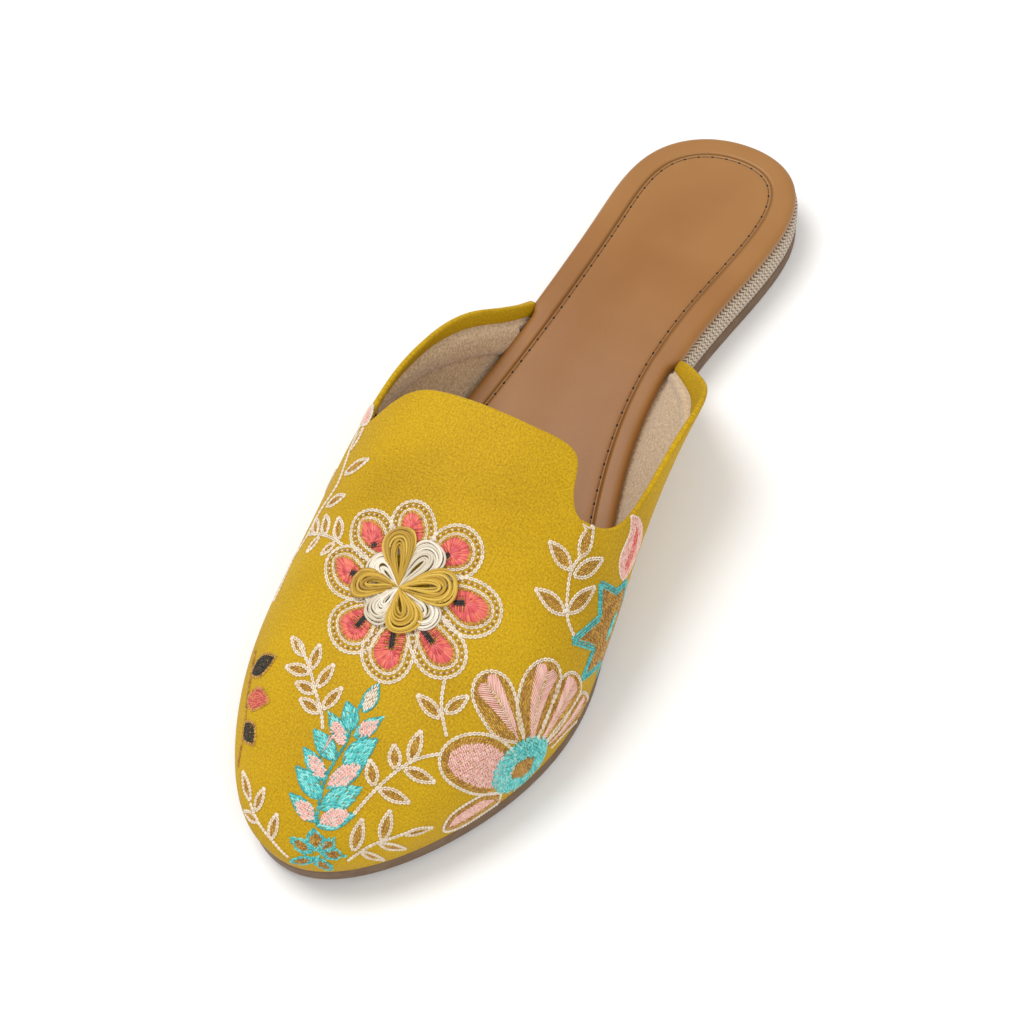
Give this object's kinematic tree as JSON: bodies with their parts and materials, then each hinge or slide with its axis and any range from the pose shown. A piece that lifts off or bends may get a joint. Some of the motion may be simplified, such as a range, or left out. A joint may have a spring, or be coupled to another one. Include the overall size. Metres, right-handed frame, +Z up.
{
  "type": "flat mule",
  "caption": "Flat slip-on mule for the right foot: low lasted cloth upper with a wide tongue and side wings, open heel, padded insole, low covered wedge and thin moulded sole.",
  "frame": {"origin": "middle of the footprint's bounding box, on the floor under the sole", "axes": "+X from heel to toe, +Y toward the inner (arch) side of the right foot, +Z up"},
  "size_m": [0.2528, 0.0852, 0.0603],
  "materials": {
    "outsole": "smooth satin",
    "heel_wedge": "woven herringbone",
    "insole": "smooth satin",
    "upper": "slubbed satin with embroidery"
  },
  "bodies": {
    "root": {"outsole": "outsole", "heel_wedge": "heel_wedge", "insole": "insole", "upper": "upper"}
  },
  "joints": []
}
